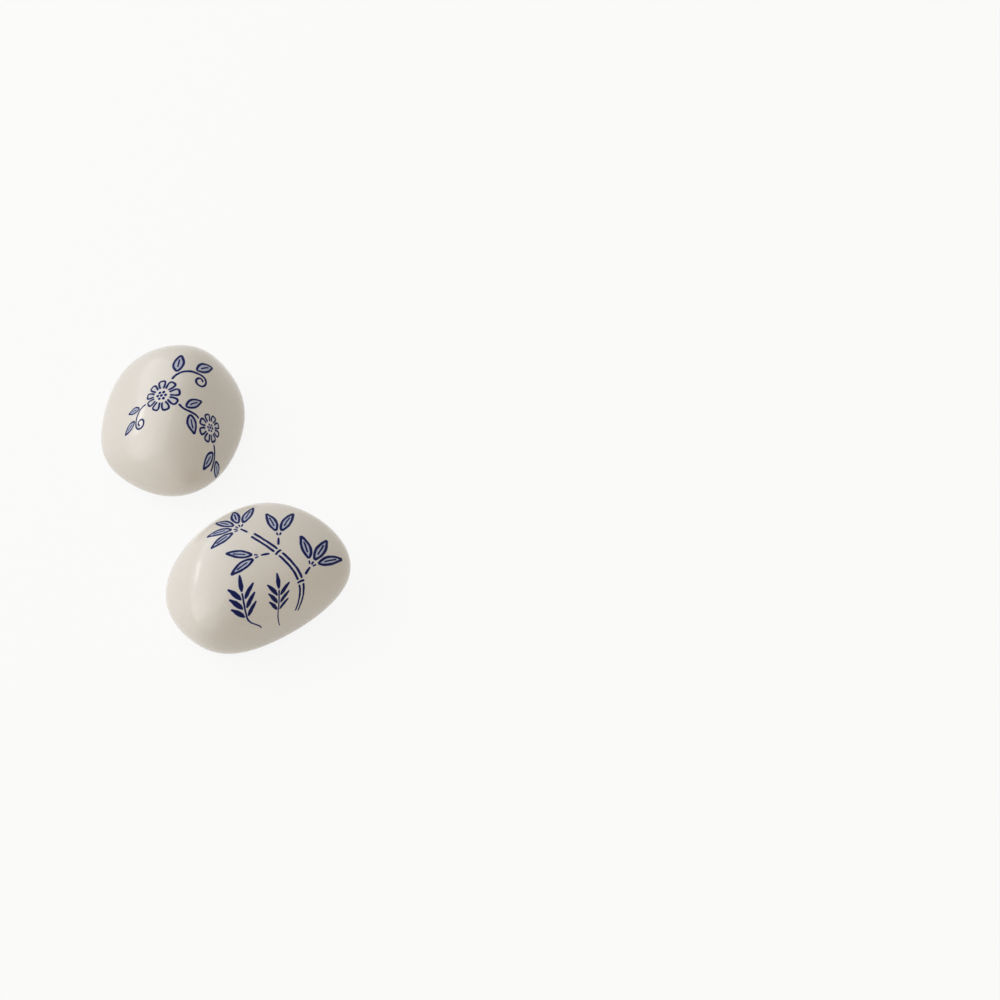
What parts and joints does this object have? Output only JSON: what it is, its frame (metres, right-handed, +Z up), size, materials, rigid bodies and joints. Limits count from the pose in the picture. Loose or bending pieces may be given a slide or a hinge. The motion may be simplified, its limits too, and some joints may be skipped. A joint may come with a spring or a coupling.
{
  "type": "chopstick rest set",
  "caption": "Pair of low pebble-shaped porcelain chopstick rests, each a hollow glazed shell on a flat foot, with a fine blue print over its crown.",
  "frame": {"origin": "on the table, at the middle of the box that holds both rests", "axes": "+Z up; +Y from the front rest towards the rear one; +X to the right as the pair is seen from the front"},
  "size_m": [0.0718, 0.101, 0.0247],
  "materials": {
    "glazed_porcelain": "clear gloss glaze over white porcelain, with a bare matt foot",
    "blue_print": "cobalt blue transfer fired into the glaze"
  },
  "bodies": {
    "rear_rest": {"rear_shell": "glazed_porcelain", "rear_bloom_print": "blue_print", "rear_vine_print": "blue_print", "rear_leaf_print": "blue_print"},
    "front_rest": {"front_shell": "glazed_porcelain", "front_stem_print": "blue_print", "front_leaf_print": "blue_print", "front_shoot_print": "blue_print"}
  },
  "joints": [
    {"name": "front_rest_lift", "type": "slide", "parent": "rear_rest", "child": "front_rest", "axis": [0, 0, 1], "range_m": [0, 0.1]}
  ]
}
